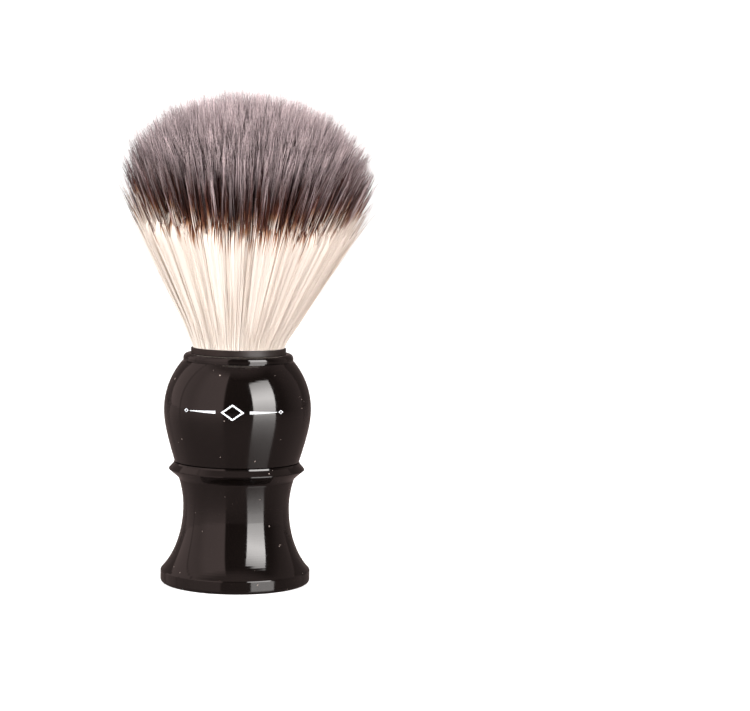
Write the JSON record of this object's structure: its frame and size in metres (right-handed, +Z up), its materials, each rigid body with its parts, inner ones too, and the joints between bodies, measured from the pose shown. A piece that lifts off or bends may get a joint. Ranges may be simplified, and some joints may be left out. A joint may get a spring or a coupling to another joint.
{
  "type": "shaving brush",
  "caption": "Bulb-handled shaving brush with a waisted, weighted pedestal and a flared filament knot held in a ferrule under a collar ring.",
  "frame": {"origin": "centre of the foot's underside, on the surface that the brush stands on", "axes": "+Z up along the brush from the foot to the bristle tips; X and Y are equal by symmetry; -Y faces the viewer"},
  "size_m": [0.058, 0.058, 0.1103],
  "materials": {
    "handle_black": "polished",
    "cap_black": "satin",
    "ferrule_black": "gloss",
    "ballast_steel": "satin",
    "bolt_steel": "satin",
    "insert_brass": "satin",
    "resin": "gloss",
    "thread": "matte",
    "filament_cream": "satin",
    "filament_tips": "satin"
  },
  "bodies": {
    "handle": {"base_cap": "cap_black", "pedestal": "handle_black", "ballast_slug": "ballast_steel", "bolt_washer": "bolt_steel", "tie_bolt": "bolt_steel", "threaded_insert": "insert_brass", "handle_bulb": "handle_black", "collar_ring": "handle_black", "knot_ferrule": "ferrule_black", "knot_plug": "resin", "knot_binding": "thread"},
    "bristle_root": {"bristle_root": "filament_cream"},
    "bristle_fan": {"bristle_fan": "filament_tips"}
  },
  "joints": [
    {"name": "knot_bend_fore_aft", "type": "hinge", "parent": "handle", "child": "bristle_root", "pos_m": [0, 0, 0.0575], "axis": [1, 0, 0], "range_deg": [-20, 20], "stiffness_Nm_per_rad": 0.2},
    {"name": "knot_bend_sideways", "type": "hinge", "parent": "bristle_root", "child": "bristle_fan", "pos_m": [0, 0, 0.0653], "axis": [0, 1, 0], "range_deg": [-20, 20], "stiffness_Nm_per_rad": 0.2}
  ]
}
